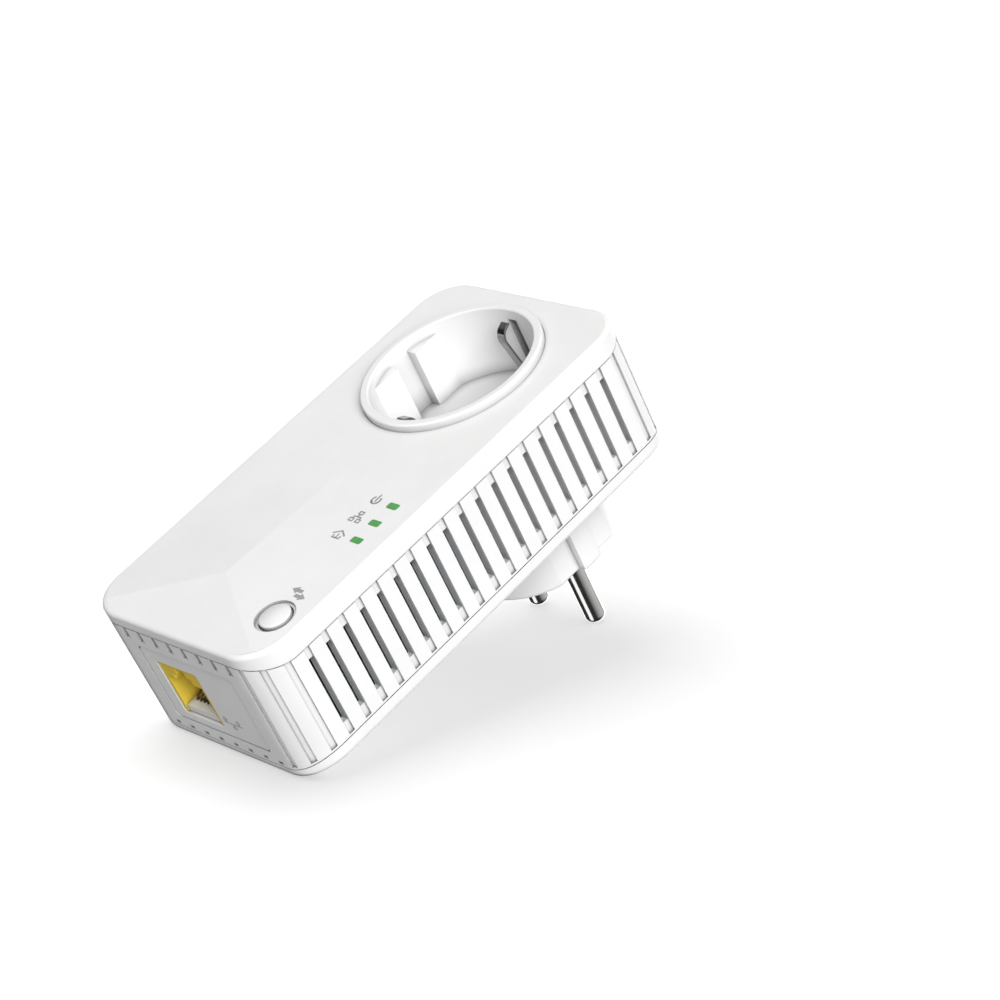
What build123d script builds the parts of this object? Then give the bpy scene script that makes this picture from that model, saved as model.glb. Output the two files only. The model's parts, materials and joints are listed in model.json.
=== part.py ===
from build123d import *
import os
from math import cos, degrees, radians, sin, tan

# A plug-in powerline network adapter with a pass-through earthed socket.
# Z is up in use, the face looks towards -Y, and "depth" below means the distance in
# front of the datum plane y = 0, which lies inside the rear cover (depth = -y).
# The plug and socket axis is x = z = 0.

# ---- housing ----
half_width = 29.8
z_top = 27.1
z_bottom = -89.8
height = z_top - z_bottom
z_mid = (z_top + z_bottom) / 2
corner_r = 9.8
face_depth = 31.9
face_thickness = 2.0
wall = 2.4
edge_fillet = 1.0
rear_thickness = 2.6
rear_face_y = 2.0
rear_side_y = 0.45
rear_skin = 2.4
rear_reveal = 0.2
rear_fillet = 1.2
lip_thickness = 1.2
reveal_gap = 0.3
lap_height = 1.2
lap_recess = 0.7
lap_outer = 1.4
fit_gap = 0.1

# ---- shallow hipped relief on the face ----
relief_height = 1.5
relief_start_z = -28.0
relief_apex_z = -71.2
relief_inset = 1.2
relief_seed = 0.02

# ---- partings of the vented band: flat in the middle, curving together at the sides ----
parting_flat_x = 19.0
parting_end_depth = 28.95
parting_side_depth = 26.8
rear_parting_end_depth = 0.2
rear_parting_side_depth = 2.6

# ---- vent grooves ----
slot_pitch = 5.12
slot_width = 1.6
groove_depth = 0.6
groove_margin = 0.65
side_slot_mid_z = z_mid - 0.4
window_rear_depth = 6.1
window_front_depth = 23.7
side_slot_count = 19
end_slot_count = 8
corner_slot_count = 3
corner_slot_step = 30
top_corner_start = 13
bottom_corner_start = 17
end_groove_rear_depth = 25.75
end_notch_front_depth = 1.75

# ---- socket ----
ring_outer_r = 21.46
recess_r = 19.42
ring_top_depth = 33.85
ring_fillet = 0.45
recess_floor_depth = 16.35
floor_thickness = 2.0
floor_r = 19.36
pin_offset = 9.5
pin_hole_r = 2.8
ring_inner_fillet = 0.4
guide_face_x = 16.4
guide_gap = 5.8
guide_front_depth = 31.2
guide_overlap = 0.5
earth_slot_width = 2.7
earth_slot_inner_z = 13.8
earth_slot_front_depth = 31.0
earth_slot_wall_z = 20.9
pin_hole_chamfer = 0.35
well_flange_r = 23.6
well_flange_thickness = 1.5

# ---- shutter and its carrier ----
carrier_slot_width = 3.4
carrier_slot_inner_z = 14.9
carrier_slot_outer_z = 20.6
stop_peg_r = 0.9
stop_peg_height = 3.0
stop_pegs = ((11.2, -6.1), (-11.2, 6.1), (4.0, 11.6), (-4.0, -11.6))
foot_r = 1.6
foot_spacing = 26.4
cavity_rear_depth = 10.6
carrier_plate = 2.0
shutter_rear_depth = 11.9
shutter_front_depth = 13.9
shutter_hub_r = 3.4
shutter_bore_r = 1.56
pivot_r = 1.5
wing_r = 12.8
wing_half_angle = 20.5
ramp_low_depth = 12.3
ramp_crest = 1.4
spring_peg_offset = 5.0
spring_peg_r = 0.45
spring_peg_height = 0.9
spring_pitch = 0.45
ramp_edge_z = 6.0
ramp_low_z = 3.4
wing_margin = 1.2
spring_coil_r = 2.3
spring_wire_r = 0.2

# ---- plug ----
plug_r = 18.4
plug_flat_x = 16.2
plug_face_y = 19.8
plug_rib_width = 5.5
pin_bore_gap = 0.02
cut_overlap = 0.5
plug_flange_r = 20.6
plug_flange_depth = 4.4
plug_pin_r = 2.4
plug_pin_tip_y = 38.8
plug_pin_root_y = 3.6
plug_shank_r = 2.1
contact_r = 3.0
contact_bore_r = 2.3
contact_front_depth = 10.4
contact_rear_y = 3.6
boss_r = 4.8
plug_wall = 2.2
plug_root_y = rear_face_y + 0.6
plug_edge_fillet = 0.9
plug_hollow_r = 12.6
earth_pocket_mid_z = 20.0
earth_pocket_height = 9.2
earth_strip_root_z = 16.6
earth_strip_root_depth = 5.5
earth_strip_slot = (5.2, 1.5)
pin_tip_fillet = 1.6
contact_floor_y = 2.9
contact_slit_y = 1.0
contact_slit_width = 0.6
lug_depth = 4.9
lug_mid_z = -4.5
lug_offset = 0.9
bridge_rear_depth = 5.55
bridge_thickness = 0.8
bridge_width = 3.0
bridge_length = 39.0
earth_strip_width = 4.6
earth_strip_thickness = 0.8
earth_pocket_width = 6.2
earth_pocket_wall = 1.2
clip_width = 2.3
clip_thickness = 0.5
clip_bend_r = 2.0
clip_root_depth = 6.75
clip_bend_depth = 9.5
clip_root_z = 18.8

# ---- ports, light windows and button ----
panel_half_width = 16.2
panel_rear_depth = 3.8
panel_front_depth = 23.8
panel_recess = 0.2
panel_gap = 0.3
panel_corner_r = 1.4
panel_flange = 1.2
port_corner_r = 0.6
port_chamfer = 0.1
port_x_min = -12.2
port_x_max = 1.7
port_rear_depth = 5.95
port_front_depth = 20.65
led_x = 22.25
led_zs = (-41.2, -46.8, -52.4)
led_length = 3.1
led_height = 1.63
led_corner_r = 0.4
led_stack = 1.0
led_proud = 0.2
guide_bar_depth = 28.2
guide_bar_width = 4.4
guide_bar_height = 15.0
guide_bar_thickness = 1.6
button_x = 22.14
button_z = -76.8
button_r = 3.6
button_clearance = 0.08
button_well_r = 4.65
button_well_depth = 31.6
button_gap = 0.35
button_gap_depth = 30.7
button_top_depth = 33.0
button_dome_r = 12.0
button_edge_fillet = 0.35
button_flange_rear_depth = 28.9
button_flange_thickness = 0.95
button_flange_r = 4.3
button_stem_r = 1.5
switch_width = 3.9
switch_height = 1.7
plunger_r = 1.0
plunger_rear = 1.25
plunger_length = 1.24
button_stem_gap = 2.5

# ---- boards ----
post_r = 2.0
post_core_r = 0.8
post_hole_depth = 5.5
rib_width = 34.0
rib_thickness = 1.2
header_pitch = 1.27
header_x = 20.0
header_z = -62.0
header_pins = 4
board_rear_depth = 4.6
board_thickness = 1.6
board_front_depth = board_rear_depth + board_thickness
board_top_z = -24.5
board_bottom_z = -86.0
board_half_width = 26.4
board_notch_width = 26.0
board_notch_height = 14.6
board_post_r = 2.2
board_post_core_r = 0.9
board_post_floor = 1.0
front_board_depth = 23.4
front_board_thickness = 1.2
front_board_x_min = 14.6
front_board_x_max = 26.6
front_board_top_z = -36.0
front_board_bottom_z = -79.1

# ---- parts on the main board: spots are (x, z), heights are above the board ----
core_x = -3.0
core_z = -44.5
core_size = (16.0, 12.8, 5.0)
core_leg = 4.0
core_rear_depth = board_front_depth + 2.2
coil_rear_depth = board_front_depth + 4.4
coil_width = 11.8
coil_length = 8.4
coil_corner_r = 2.4
bulk_capacitor_spots = ((-19.8, -37.5), (-19.8, -49.0))
bulk_capacitor_r = 5.0
bulk_capacitor_height = 16.0
small_capacitor_spots = ((9.8, -52.0), (9.8, -58.0), (3.6, -55.0))
small_capacitor_r = 2.5
small_capacitor_height = 8.0
x_capacitor_spot = (9.0, -36.5)
x_capacitor_height = 11.0
y_capacitor_x = 15.6
y_capacitor_zs = (-31.5, -35.5)
y_capacitor_r = 2.9
y_capacitor_thickness = 2.2
varistor_x = 19.6
varistor_z = -41.0
varistor_r = 4.6
varistor_thickness = 3.4
fuse_spot = (16.6, -47.6)
fuse_height = 7.6
choke_x = -6.0
choke_z = -32.8
choke_r = 5.2
choke_bore_r = 2.2
choke_thickness = 4.6
coupler_spot = (17.6, -55.5)
coupler_width = 8.8
coupler_base = 1.6
coupler_core_r = 3.9
coupler_bore_r = 1.4
modem_spot = (-15.5, -62.5)
modem_width = 12.0
modem_height = 1.1
heatsink_width = 14.0
heatsink_base = 1.6
fin_pitch = 2.6
fin_count = 6
fin_thickness = 1.0
fin_height = 5.0
memory_spot = (-2.6, -62.5)
crystal_spot = (-5.0, -55.6)
magnetics_spot = (10.0, -68.5)

# ---- rear cover details ----
pocket_mid_z = -55.0
pocket_width = 51.0
pocket_height = 60.0
label_z = -52.0
label_width = 36.0
label_height = 39.4
label_recess = 0.3
label_corner_r = 1.2

# ---- screws ----
screw_boss_r = 3.0
screw_seat_depth = 0.6
screw_core_r = 1.2
screw_hole_depth = 12.0
screw_r = 1.2
screw_head_r = 2.5
screw_head_height = 1.3
screw_length = 11.4
screw_gap = 0.15
board_screw_head_r = 2.0
board_screw_head_height = 1.3
board_screw_tip_depth = 1.4
front_screw_head_r = 1.7
front_screw_head_height = 1.1
front_screw_length = 4.8
head_gap = 0.2
screw_spots = ((-22.3, 19.6), (22.3, 19.6), (-17.2, -82.5), (17.2, -82.5))
board_screw_spots = ((-23.0, -28.2), (23.0, -28.2), (-23.0, -72.0), (22.8, -70.0))

os.makedirs("parts", exist_ok=True)


def depth_plane(depth):
    """The plane at a given depth; its sketches read (x, z) and extrude to the front."""
    return Plane.XZ.offset(depth)


outer_w = 2 * half_width
far = 10
front_board_front = front_board_depth + front_board_thickness
front_posts = [(front_board_x_min + 2.2, -38.6), (front_board_x_min + 2.2, -71.0)]
header_spots = [(header_x + header_pitch * index, header_z) for index in range(header_pins)]
header_mid = (header_x + header_pitch * (header_pins - 1) / 2, header_z)


def region_behind(end_depth, side_depth):
    """Everything behind a crowned surface, as a profile seen from above."""
    reach = half_width + far
    with BuildSketch(Plane.XY.offset(z_bottom - far)) as region:
        with BuildLine():
            Line((-parting_flat_x, -end_depth), (parting_flat_x, -end_depth))
            for side in (-1, 1):
                TangentArc(
                    (side * parting_flat_x, -end_depth),
                    (side * half_width, -side_depth),
                    tangent=(side, 0),
                )
                Polyline(
                    (side * half_width, -side_depth), (side * reach, -side_depth), (side * reach, far)
                )
            Line((-reach, far), (reach, far))
        make_face()
    return region.sketch


cover_parting = region_behind(parting_end_depth, parting_side_depth)
band_front = region_behind(parting_end_depth - reveal_gap, parting_side_depth - reveal_gap)
band_rear = region_behind(
    rear_parting_end_depth + rear_reveal, rear_parting_side_depth + rear_reveal
)
groove_rear = region_behind(
    rear_parting_end_depth + groove_margin, rear_parting_side_depth + groove_margin
)
rear_parting = region_behind(rear_parting_end_depth, rear_parting_side_depth)
rear_face = region_behind(-rear_face_y, -rear_side_y)
full_height = height + 2 * far

# ---- relief: shallow facets that rise to an apex near the bottom of the face ----
relief_edge = half_width - relief_inset
with BuildSketch(depth_plane(face_depth)) as relief_foot:
    with Locations((0, (relief_apex_z + z_bottom + relief_inset) / 2)):
        Rectangle(2 * relief_edge, relief_apex_z - z_bottom - relief_inset)
with BuildPart() as face_relief:
    for z, rise in ((relief_start_z, relief_seed), (relief_apex_z, relief_height)):
        with BuildSketch(Plane.XY.offset(z)):
            Polygon(
                (-relief_edge, -face_depth),
                (relief_edge, -face_depth),
                (0, -face_depth - rise),
                align=None,
            )
    loft(ruled=True)
    loft([relief_foot.sketch, Vertex(0, -face_depth - relief_height, relief_apex_z)], ruled=True)
    with BuildSketch(depth_plane(face_depth)):
        with Locations((0, z_mid)):
            RectangleRounded(
                outer_w - 2 * relief_inset, height - 2 * relief_inset, corner_r - relief_inset
            )
    extrude(amount=2 * relief_height, mode=Mode.INTERSECT)

# ---- front cover ----
with BuildPart() as front_cover:
    with BuildSketch(depth_plane(0)):
        with Locations((0, z_mid)):
            RectangleRounded(outer_w, height, corner_r)
    extrude(amount=face_depth)
    fillet(front_cover.faces().sort_by(Axis.Y)[0].edges(), edge_fillet)
    add(face_relief.part)
    with BuildSketch(depth_plane(0)):
        with Locations((0, z_mid)):
            RectangleRounded(outer_w - 2 * wall, height - 2 * wall, corner_r - wall)
    extrude(amount=face_depth - face_thickness, mode=Mode.SUBTRACT)
    # lap recess that takes the band's lip
    with BuildSketch(depth_plane(0)):
        with Locations((0, z_mid)):
            RectangleRounded(
                outer_w - 2 * lap_outer, height - 2 * lap_outer, corner_r - lap_outer
            )
    extrude(amount=parting_end_depth + lap_recess, mode=Mode.SUBTRACT)
    extrude(cover_parting, amount=full_height, mode=Mode.SUBTRACT)
    # screw bosses
    with BuildSketch(depth_plane(rear_thickness + fit_gap)):
        with Locations(*screw_spots):
            Circle(screw_boss_r)
    extrude(amount=face_depth - face_thickness - rear_thickness)
    with BuildSketch(depth_plane(rear_thickness)):
        with Locations(*screw_spots):
            Circle(screw_core_r)
    extrude(amount=screw_hole_depth, mode=Mode.SUBTRACT)
    # posts for the indicator board
    with BuildSketch(depth_plane(front_board_front)):
        with Locations(*front_posts):
            Circle(post_r)
    extrude(amount=face_depth - face_thickness / 2 - front_board_front)
    with BuildSketch(depth_plane(front_board_depth)):
        with Locations(*front_posts):
            Circle(post_core_r)
    extrude(amount=post_hole_depth, mode=Mode.SUBTRACT)
    # stiffening ribs inside the face
    with BuildSketch(depth_plane(face_depth - face_thickness - rib_thickness)):
        with Locations((-10, -40), (-10, -60)):
            Rectangle(rib_width, rib_thickness)
    extrude(amount=rib_thickness + fit_gap)
    # openings: socket, light windows, button
    with BuildSketch(depth_plane(0)):
        Circle(ring_outer_r + fit_gap)
        with Locations(*[(led_x, z) for z in led_zs]):
            RectangleRounded(led_length + fit_gap, led_height + fit_gap, led_corner_r + fit_gap / 2)
        with Locations((button_x, button_z)):
            Circle(button_r + button_clearance)
    extrude(amount=face_depth + far, mode=Mode.SUBTRACT)
    # dished recess round the button, with a shadow gap at its foot
    for depth, radius in (
        (button_gap_depth, button_r + button_gap),
        (button_well_depth, button_well_r),
    ):
        with BuildSketch(depth_plane(depth)):
            with Locations((button_x, button_z)):
                Circle(radius)
        extrude(amount=far, mode=Mode.SUBTRACT)
front_cover.part.label = "front_cover"
export_step(front_cover.part, "parts/front_cover.step")

# ---- vented band ----
# its grooves run from the front parting to just short of the rear parting
groove_span = face_depth
with BuildPart() as grooves:
    for side in (-1, 1):
        with BuildSketch(Plane.YZ.offset(side * (half_width - groove_depth))):
            with Locations((-groove_span / 2, side_slot_mid_z)):
                with GridLocations(1, slot_pitch, 1, side_slot_count):
                    Rectangle(groove_span, slot_width)
        extrude(amount=side * far)
    # round the corners, at the same pitch along the outline
    corner_places = []
    for end, centre_z, start in (
        (1, z_top - corner_r, top_corner_start),
        (-1, z_bottom + corner_r, bottom_corner_start),
    ):
        for side in (-1, 1):
            for step in range(corner_slot_count):
                turn = radians(start + step * corner_slot_step)
                x = side * (half_width - corner_r + corner_r * cos(turn))
                z = centre_z + end * corner_r * sin(turn)
                tilt = -side * end * degrees(turn)
                corner_places.append(Location((x, -groove_span / 2, z), (0, tilt, 0)))
    with Locations(*corner_places):
        Box(2 * groove_depth, groove_span, slot_width)
    # full ones on the top end, two short stretches on the bottom end
    with BuildSketch(Plane.XY.offset(z_top - groove_depth)):
        with Locations((0, -groove_span / 2)):
            with GridLocations(slot_pitch, 1, end_slot_count, 1):
                Rectangle(slot_width, groove_span)
    extrude(amount=far)
    with BuildSketch(Plane.XY.offset(z_bottom + groove_depth)):
        with Locations((0, -(end_groove_rear_depth + groove_span) / 2)):
            with GridLocations(slot_pitch, 1, end_slot_count, 1):
                Rectangle(slot_width, groove_span - end_groove_rear_depth)
        with Locations((0, -end_notch_front_depth / 2)):
            with GridLocations(slot_pitch, 1, end_slot_count, 1):
                Rectangle(slot_width, end_notch_front_depth)
    extrude(amount=-far)
    extrude(groove_rear, amount=full_height, mode=Mode.SUBTRACT)

with BuildPart() as vent_band:
    with BuildSketch(depth_plane(0)):
        with Locations((0, z_mid)):
            RectangleRounded(outer_w, height, corner_r)
            RectangleRounded(
                outer_w - 2 * wall, height - 2 * wall, corner_r - wall, mode=Mode.SUBTRACT
            )
    extrude(amount=face_depth)
    extrude(band_front, amount=full_height, mode=Mode.INTERSECT)
    # lip that laps inside the cover
    lip_w = outer_w - 2 * lap_outer - 2 * fit_gap
    with BuildSketch(depth_plane(window_front_depth)):
        with Locations((0, z_mid)):
            RectangleRounded(lip_w, height - outer_w + lip_w, corner_r - lap_outer - fit_gap)
            RectangleRounded(
                outer_w - 2 * wall, height - 2 * wall, corner_r - wall, mode=Mode.SUBTRACT
            )
    extrude(amount=parting_side_depth + lap_height - window_front_depth)
    add(grooves.part, mode=Mode.SUBTRACT)
    extrude(band_rear, amount=full_height, mode=Mode.SUBTRACT)
    # windows through the side grooves
    window_span = window_front_depth - window_rear_depth
    with BuildSketch(Plane.YZ.offset(-half_width - 1)):
        with Locations((-(window_rear_depth + window_span / 2), side_slot_mid_z)):
            with GridLocations(1, slot_pitch, 1, side_slot_count):
                Rectangle(window_span, slot_width)
    extrude(amount=outer_w + 2, mode=Mode.SUBTRACT)
    # cut-out for the port panel
    with BuildSketch(Plane.XY.offset(z_bottom - 1)):
        with Locations((0, -(panel_rear_depth + panel_front_depth) / 2)):
            RectangleRounded(
                2 * (panel_half_width + panel_gap),
                panel_front_depth - panel_rear_depth + 2 * panel_gap,
                panel_corner_r + panel_gap / 2,
            )
    extrude(amount=wall + 2, mode=Mode.SUBTRACT)
vent_band.part.label = "vent_band"
export_step(vent_band.part, "parts/vent_band.step")

# ---- rear cover ----
inner_w = outer_w - 2 * wall - 2 * fit_gap
inner_h = height - 2 * wall - 2 * fit_gap
inner_r = corner_r - wall - fit_gap
with BuildPart() as rear_cover:
    # crowned shell between the rear parting and the rear face
    with BuildSketch(depth_plane(-rear_face_y)):
        with Locations((0, z_mid)):
            RectangleRounded(outer_w, height, corner_r)
    extrude(amount=rear_face_y + rear_parting_side_depth)
    extrude(rear_parting, amount=full_height, mode=Mode.INTERSECT)
    extrude(rear_face, amount=full_height, mode=Mode.SUBTRACT)
    rear_rim = [
        edge
        for edge in rear_cover.edges().filter_by(Axis.Y, reverse=True)
        if edge.center().Y > 0 and abs(abs(edge.center().X) - parting_flat_x) > fit_gap
    ]
    fillet(rear_rim, rear_fillet)
    # step that fits inside the band, with a lip, left open at the port panel's flange
    with BuildSketch(depth_plane(0)):
        with Locations((0, z_mid)):
            RectangleRounded(inner_w, inner_h, inner_r)
    extrude(amount=rear_thickness)
    with BuildSketch(depth_plane(rear_thickness)):
        with Locations((0, z_mid)):
            RectangleRounded(inner_w, inner_h, inner_r)
            RectangleRounded(
                inner_w - 2 * lip_thickness,
                inner_h - 2 * lip_thickness,
                inner_r - lip_thickness,
                mode=Mode.SUBTRACT,
            )
        with Locations((0, z_bottom + wall)):
            Rectangle(2 * panel_half_width + 6, 6, mode=Mode.SUBTRACT)
        with Locations(*screw_spots):
            Circle(screw_boss_r + reveal_gap, mode=Mode.SUBTRACT)
    extrude(amount=lip_thickness)
    # pocket that keeps the wall even under the main board
    with BuildSketch(depth_plane(rear_thickness)):
        with Locations((0, pocket_mid_z)):
            RectangleRounded(pocket_width, pocket_height, 3)
        with Locations(*screw_spots):
            Circle(screw_boss_r + 1, mode=Mode.SUBTRACT)
    extrude(amount=-(rear_thickness + rear_face_y - rear_skin), mode=Mode.SUBTRACT)
    # board posts
    with BuildSketch(depth_plane(0)):
        with Locations(*board_screw_spots):
            Circle(board_post_r)
    extrude(amount=board_rear_depth)
    with BuildSketch(depth_plane(board_post_floor)):
        with Locations(*board_screw_spots):
            Circle(board_post_core_r)
    extrude(amount=board_rear_depth, mode=Mode.SUBTRACT)
    # plug opening
    with BuildSketch(depth_plane(-far)):
        Circle(plug_r + fit_gap)
    extrude(amount=2 * far, mode=Mode.SUBTRACT)
    # counterbored screw holes
    with BuildSketch(depth_plane(-far)):
        with Locations(*screw_spots):
            Circle(screw_r + screw_gap)
    extrude(amount=2 * far, mode=Mode.SUBTRACT)
    with BuildSketch(depth_plane(-far)):
        with Locations(*screw_spots):
            Circle(screw_head_r + head_gap)
    extrude(amount=far + screw_seat_depth, mode=Mode.SUBTRACT)
    # recess for the rating label
    with BuildSketch(depth_plane(-rear_face_y)):
        with Locations((0, label_z)):
            RectangleRounded(
                label_width + 2 * reveal_gap,
                label_height + 2 * reveal_gap,
                label_corner_r + reveal_gap,
            )
    extrude(amount=label_recess, mode=Mode.SUBTRACT)
rear_cover.part.label = "rear_cover"
export_step(rear_cover.part, "parts/rear_cover.step")

# ---- blank rating label ----
with BuildPart() as rear_label:
    with BuildSketch(depth_plane(label_recess - rear_face_y)):
        with Locations((0, label_z)):
            RectangleRounded(label_width, label_height, label_corner_r)
    extrude(amount=-label_recess / 2)
rear_label.part.label = "rear_label"
export_step(rear_label.part, "parts/rear_label.step")

# ---- port panel ----
with BuildPart() as port_panel:
    panel_mid = -(panel_rear_depth + panel_front_depth) / 2
    panel_span = panel_front_depth - panel_rear_depth
    with BuildSketch(Plane.XY.offset(z_bottom + panel_recess)):
        with Locations((0, panel_mid)):
            RectangleRounded(2 * panel_half_width, panel_span, panel_corner_r)
    extrude(amount=wall - panel_recess + fit_gap / 2)
    with BuildSketch(Plane.XY.offset(z_bottom + wall + fit_gap / 2)):
        with Locations((0, panel_mid)):
            RectangleRounded(
                2 * (panel_half_width + panel_flange), panel_span + 0.8, panel_corner_r
            )
    extrude(amount=panel_flange)
    port_mid = ((port_x_min + port_x_max) / 2, -(port_rear_depth + port_front_depth) / 2)
    with BuildSketch(Plane.XY.offset(z_bottom)):
        with Locations(port_mid):
            RectangleRounded(
                port_x_max - port_x_min, port_front_depth - port_rear_depth, port_corner_r
            )
    extrude(amount=far, mode=Mode.SUBTRACT)
    mouth = port_panel.faces().filter_by(Plane.XY).sort_by(Axis.Z)[0].inner_wires()[0].edges()
    chamfer(mouth, port_chamfer)
port_panel.part.label = "port_panel"
export_step(port_panel.part, "parts/port_panel.step")

# ---- network jack ----
jack_x = port_mid[0]
jack_mouth_z = z_bottom + 0.45
jack_shoulder_z = z_bottom + wall + panel_flange + 0.15
jack_length = 16.0
jack_width = 15.4
jack_rear_depth = board_front_depth
jack_front_depth = 20.9
tray_front_depth = 7.9
cavity_width = 11.8
jack_cavity_rear_depth = jack_rear_depth - 0.4
cavity_front_depth = 16.4
cavity_length = 15.5
latch_widths = (6.2, 3.4)
latch_step = 1.7
contact_pitch = 1.27
contact_count = 8
contact_width = 0.42
contact_groove_width = 0.7
contact_groove_start = 2.2
contact_root_depth = 7.7
contact_root_z = jack_mouth_z + 14.6
with BuildPart() as rj45_housing:
    with BuildSketch(Plane.XY.offset(jack_shoulder_z)):
        with Locations((jack_x, -(jack_rear_depth + jack_front_depth) / 2)):
            Rectangle(jack_width, jack_front_depth - jack_rear_depth)
    extrude(amount=jack_length)
    with BuildSketch(Plane.XY.offset(jack_mouth_z)):
        with Locations(port_mid):
            RectangleRounded(
                port_x_max - port_x_min - 2 * fit_gap,
                port_front_depth - port_rear_depth - 2 * fit_gap,
                port_corner_r - fit_gap,
            )
    extrude(amount=jack_shoulder_z - jack_mouth_z)
    # cavity for the network plug, stepped at the front for its latch
    with BuildSketch(Plane.XY.offset(jack_mouth_z - fit_gap)):
        with Locations((jack_x, -(cavity_front_depth + jack_cavity_rear_depth) / 2)):
            Rectangle(cavity_width, cavity_front_depth - jack_cavity_rear_depth)
        for step, width in enumerate(latch_widths):
            with Locations((jack_x, -(cavity_front_depth + latch_step * step))):
                Rectangle(width, latch_step, align=(Align.CENTER, Align.MAX))
    extrude(amount=cavity_length, mode=Mode.SUBTRACT)
rj45_housing.part.label = "rj45_housing"
export_step(rj45_housing.part, "parts/rj45_housing.step")

contact_middle = (contact_count - 1) / 2
contact_xs = [jack_x + (index - contact_middle) * contact_pitch for index in range(contact_count)]
with BuildPart() as rj45_contact_tray:
    with BuildSketch(Plane.XY.offset(jack_mouth_z + reveal_gap)):
        with Locations((jack_x, -(jack_rear_depth + tray_front_depth) / 2)):
            Rectangle(cavity_width - 2 * fit_gap, tray_front_depth - jack_rear_depth - fit_gap)
    extrude(amount=cavity_length - 2 * reveal_gap)
    # a groove under each contact
    with BuildSketch(Plane.XY.offset(jack_mouth_z + contact_groove_start)):
        with Locations(*[(x, -tray_front_depth) for x in contact_xs]):
            Rectangle(contact_groove_width, 1.2)
    extrude(amount=cavity_length, mode=Mode.SUBTRACT)
rj45_contact_tray.part.label = "rj45_contact_tray"
export_step(rj45_contact_tray.part, "parts/rj45_contact_tray.step")

with BuildPart() as rj45_contacts:
    for x in contact_xs:
        with BuildLine(Plane.YZ.offset(x)) as contact_path:
            Polyline(
                (-contact_root_depth, contact_root_z),
                (-contact_root_depth, jack_mouth_z + 3.0),
                (-8.1, jack_mouth_z + 2.5),
                (-8.6, jack_mouth_z + 2.9),
                (-11.8, jack_mouth_z + 12.5),
            )
        with BuildSketch(Plane((x, -contact_root_depth, contact_root_z), z_dir=(0, 0, -1))):
            Rectangle(contact_width, 0.3)
        sweep(path=contact_path.line, transition=Transition.RIGHT)
rj45_contacts.part.label = "rj45_contacts"
export_step(rj45_contacts.part, "parts/rj45_contacts.step")

# ---- pairing button ----
stem_rear_depth = front_board_front + button_stem_gap
with BuildPart() as pair_button:
    with BuildSketch(depth_plane(button_flange_rear_depth)):
        with Locations((button_x, button_z)):
            Circle(button_r)
    extrude(amount=button_top_depth + relief_height - button_flange_rear_depth)
    with Locations((button_x, button_dome_r - button_top_depth, button_z)):
        Sphere(button_dome_r, mode=Mode.INTERSECT)
    fillet(pair_button.faces().sort_by(Axis.Y)[0].edges(), button_edge_fillet)
    with BuildSketch(depth_plane(button_flange_rear_depth)):
        with Locations((button_x, button_z)):
            Circle(button_flange_r)
    extrude(amount=button_flange_thickness)
    with BuildSketch(depth_plane(stem_rear_depth)):
        with Locations((button_x, button_z)):
            Circle(button_stem_r)
    extrude(amount=button_flange_rear_depth - stem_rear_depth)
pair_button.part.label = "pair_button"
export_step(pair_button.part, "parts/pair_button.step")

with BuildPart() as tact_switch:
    with BuildSketch(depth_plane(front_board_front)):
        with Locations((button_x, button_z)):
            Rectangle(switch_width, switch_width)
    extrude(amount=switch_height)
    with BuildSketch(depth_plane(front_board_front + plunger_rear / 2)):
        with Locations((button_x, button_z)):
            Circle(plunger_r + fit_gap / 2)
    extrude(amount=switch_height, mode=Mode.SUBTRACT)
tact_switch.part.label = "tact_switch"
export_step(tact_switch.part, "parts/tact_switch.step")

with BuildPart() as tact_plunger:
    with BuildSketch(depth_plane(front_board_front + plunger_rear)):
        with Locations((button_x, button_z)):
            Circle(plunger_r)
    extrude(amount=plunger_length)
tact_plunger.part.label = "tact_plunger"
export_step(tact_plunger.part, "parts/tact_plunger.step")

# ---- light guide and indicator diodes ----
guide_back_depth = front_board_front + led_stack + 0.2
with BuildPart() as light_guide:
    with BuildSketch(depth_plane(guide_back_depth)):
        with Locations(*[(led_x, z) for z in led_zs]):
            RectangleRounded(led_length, led_height, led_corner_r)
    extrude(amount=face_depth + led_proud - guide_back_depth)
    with BuildSketch(depth_plane(guide_bar_depth)):
        with Locations((led_x, led_zs[1])):
            Rectangle(guide_bar_width, guide_bar_height)
    extrude(amount=guide_bar_thickness)
light_guide.part.label = "light_guide"
export_step(light_guide.part, "parts/light_guide.step")

with BuildPart() as status_leds:
    with BuildSketch(depth_plane(front_board_front)):
        with Locations(*[(led_x, z) for z in led_zs]):
            Rectangle(3.0, 1.5)
    extrude(amount=led_stack / 2)
    with BuildSketch(depth_plane(front_board_front + led_stack / 2)):
        with Locations(*[(led_x, z) for z in led_zs]):
            Rectangle(2.0, 1.3)
    extrude(amount=led_stack / 2, taper=8)
status_leds.part.label = "status_leds"
export_step(status_leds.part, "parts/status_leds.step")

with BuildPart() as front_board:
    board_mid = (
        (front_board_x_min + front_board_x_max) / 2,
        (front_board_top_z + front_board_bottom_z) / 2,
    )
    with BuildSketch(depth_plane(front_board_depth)):
        with Locations(board_mid):
            RectangleRounded(
                front_board_x_max - front_board_x_min, front_board_top_z - front_board_bottom_z, 1
            )
        with Locations(*front_posts):
            Circle(1.2, mode=Mode.SUBTRACT)
        with Locations(*header_spots):
            Circle(0.45, mode=Mode.SUBTRACT)
    extrude(amount=front_board_thickness)
front_board.part.label = "front_board"
export_step(front_board.part, "parts/front_board.step")

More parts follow.
